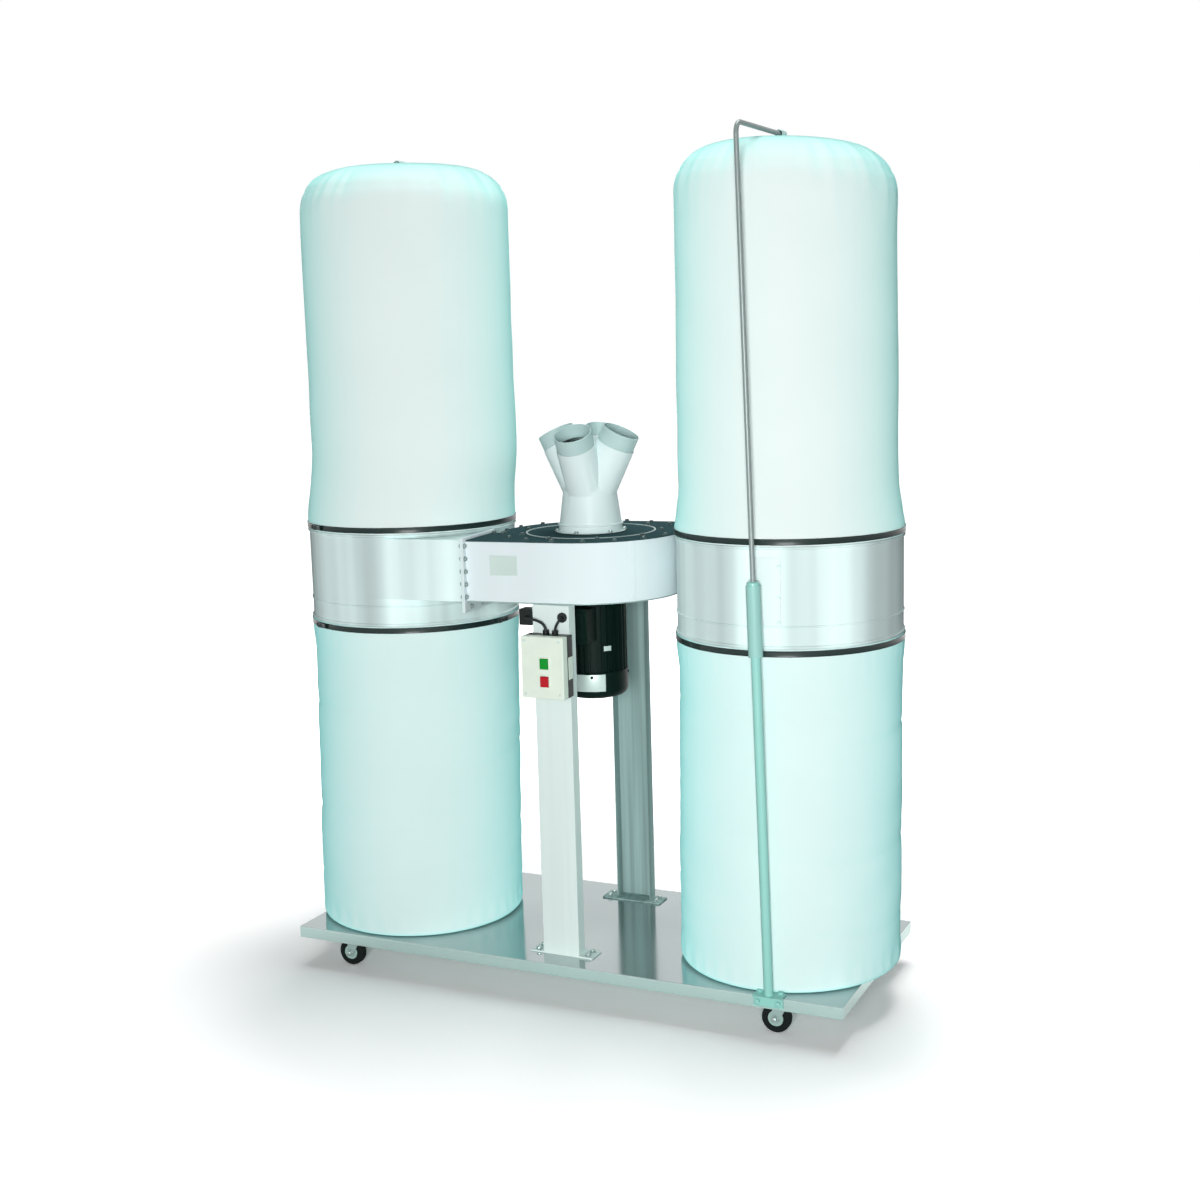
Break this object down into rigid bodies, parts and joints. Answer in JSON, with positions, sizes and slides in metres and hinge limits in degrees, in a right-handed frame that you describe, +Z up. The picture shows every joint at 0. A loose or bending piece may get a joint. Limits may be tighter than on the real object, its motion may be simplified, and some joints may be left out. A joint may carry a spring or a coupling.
{
  "type": "mobile bag dust collector",
  "caption": "Wheeled bag dust collector: cloth filter bags above dust bags on side drums, a central blower with its motor hung below and a branched hose inlet on top.",
  "frame": {"origin": "the floor, midway between the bags and below the blower's axis", "axes": "+X along the base to the right column, +Y to the rear, +Z up; the switch box faces -Y"},
  "size_m": [1.6976, 0.672, 2.2132],
  "materials": {
    "base_sheet": "glossy silver-grey paint",
    "front_post_paint": "pale mint-grey paint",
    "rear_post_paint": "mint-grey paint",
    "caster_steel": "zinc plated",
    "wheel_hub": "grey plastic",
    "wheel_tyre": "black rubber",
    "blower_paint": "pale mint-silver paint",
    "cover_paint": "dark glossy paint",
    "inlet_paint": "pale mint-silver paint",
    "drum_paint": "pale mint-silver paint",
    "filter_cloth": "dense aqua-white filter felt",
    "dust_bag_cloth": "smooth pale aqua cloth",
    "clamp_black": "near-black gloss",
    "hanger_steel": "pale mint-aqua paint",
    "motor_black": "black paint",
    "switch_black": "black plastic",
    "switch_pale": "pale plastic",
    "button_green": "green",
    "button_red": "red",
    "lead_rubber": "black rubber"
  },
  "bodies": {
    "frame": {"base_plate": "base_sheet", "front_post": "front_post_paint", "rear_post": "rear_post_paint", "caster_plates": "caster_steel", "blower_wall": "blower_paint", "blower_floor": "blower_paint", "blower_cover": "cover_paint", "inlet_collar": "inlet_paint", "inlet_manifold": "inlet_paint", "front_spigot": "inlet_paint", "right_spigot": "inlet_paint", "rear_spigot": "inlet_paint", "left_spigot": "inlet_paint", "left_drum": "drum_paint", "right_drum": "drum_paint", "left_filter_bag": "filter_cloth", "right_filter_bag": "filter_cloth", "left_dust_bag": "dust_bag_cloth", "right_dust_bag": "dust_bag_cloth", "upper_clamps": "clamp_black", "lower_clamps": "clamp_black", "hanger_brackets": "hanger_steel", "hanger_tubes": "hanger_steel", "hanger_rods": "hanger_steel", "hanger_sleeves": "hanger_steel", "motor_body": "motor_black", "motor_cowl": "motor_black", "terminal_box": "motor_black", "switch_back": "switch_black", "supply_inlet": "switch_black", "cable_glands": "switch_black", "switch_cover": "switch_pale", "post_grommet": "lead_rubber", "motor_lead": "lead_rubber", "supply_lead": "lead_rubber"},
    "front_left_swivel": {"front_left_fork": "caster_steel"},
    "front_left_wheel": {"front_left_hub": "wheel_hub", "front_left_tyre": "wheel_tyre"},
    "front_right_swivel": {"front_right_fork": "caster_steel"},
    "front_right_wheel": {"front_right_hub": "wheel_hub", "front_right_tyre": "wheel_tyre"},
    "rear_left_swivel": {"rear_left_fork": "caster_steel"},
    "rear_left_wheel": {"rear_left_hub": "wheel_hub", "rear_left_tyre": "wheel_tyre"},
    "rear_right_swivel": {"rear_right_fork": "caster_steel"},
    "rear_right_wheel": {"rear_right_hub": "wheel_hub", "rear_right_tyre": "wheel_tyre"},
    "start_button": {"start_button": "button_green"},
    "stop_button": {"stop_button": "button_red"}
  },
  "joints": [
    {"name": "front_left_swivel_turn", "type": "hinge", "parent": "frame", "child": "front_left_swivel", "pos_m": [-0.628, -0.26, 0.095], "axis": [0, 0, 1], "continuous": true},
    {"name": "front_left_wheel_turn", "type": "hinge", "parent": "front_left_swivel", "child": "front_left_wheel", "pos_m": [-0.655, -0.26, 0.0375], "axis": [0, 1, 0], "continuous": true},
    {"name": "front_right_swivel_turn", "type": "hinge", "parent": "frame", "child": "front_right_swivel", "pos_m": [0.628, -0.26, 0.095], "axis": [0, 0, 1], "continuous": true},
    {"name": "front_right_wheel_turn", "type": "hinge", "parent": "front_right_swivel", "child": "front_right_wheel", "pos_m": [0.601, -0.26, 0.0375], "axis": [0, 1, 0], "continuous": true},
    {"name": "rear_left_swivel_turn", "type": "hinge", "parent": "frame", "child": "rear_left_swivel", "pos_m": [-0.628, 0.26, 0.095], "axis": [0, 0, 1], "continuous": true},
    {"name": "rear_left_wheel_turn", "type": "hinge", "parent": "rear_left_swivel", "child": "rear_left_wheel", "pos_m": [-0.655, 0.26, 0.0375], "axis": [0, 1, 0], "continuous": true},
    {"name": "rear_right_swivel_turn", "type": "hinge", "parent": "frame", "child": "rear_right_swivel", "pos_m": [0.628, 0.26, 0.095], "axis": [0, 0, 1], "continuous": true},
    {"name": "rear_right_wheel_turn", "type": "hinge", "parent": "rear_right_swivel", "child": "rear_right_wheel", "pos_m": [0.601, 0.26, 0.0375], "axis": [0, 1, 0], "continuous": true},
    {"name": "start_button_press", "type": "slide", "parent": "frame", "child": "start_button", "axis": [0, 1, 0], "range_m": [0, 0.003], "stiffness_N_per_m": 600, "springref_m": -0.002},
    {"name": "stop_button_press", "type": "slide", "parent": "frame", "child": "stop_button", "axis": [0, 1, 0], "range_m": [0, 0.003], "stiffness_N_per_m": 600, "springref_m": -0.002}
  ]
}
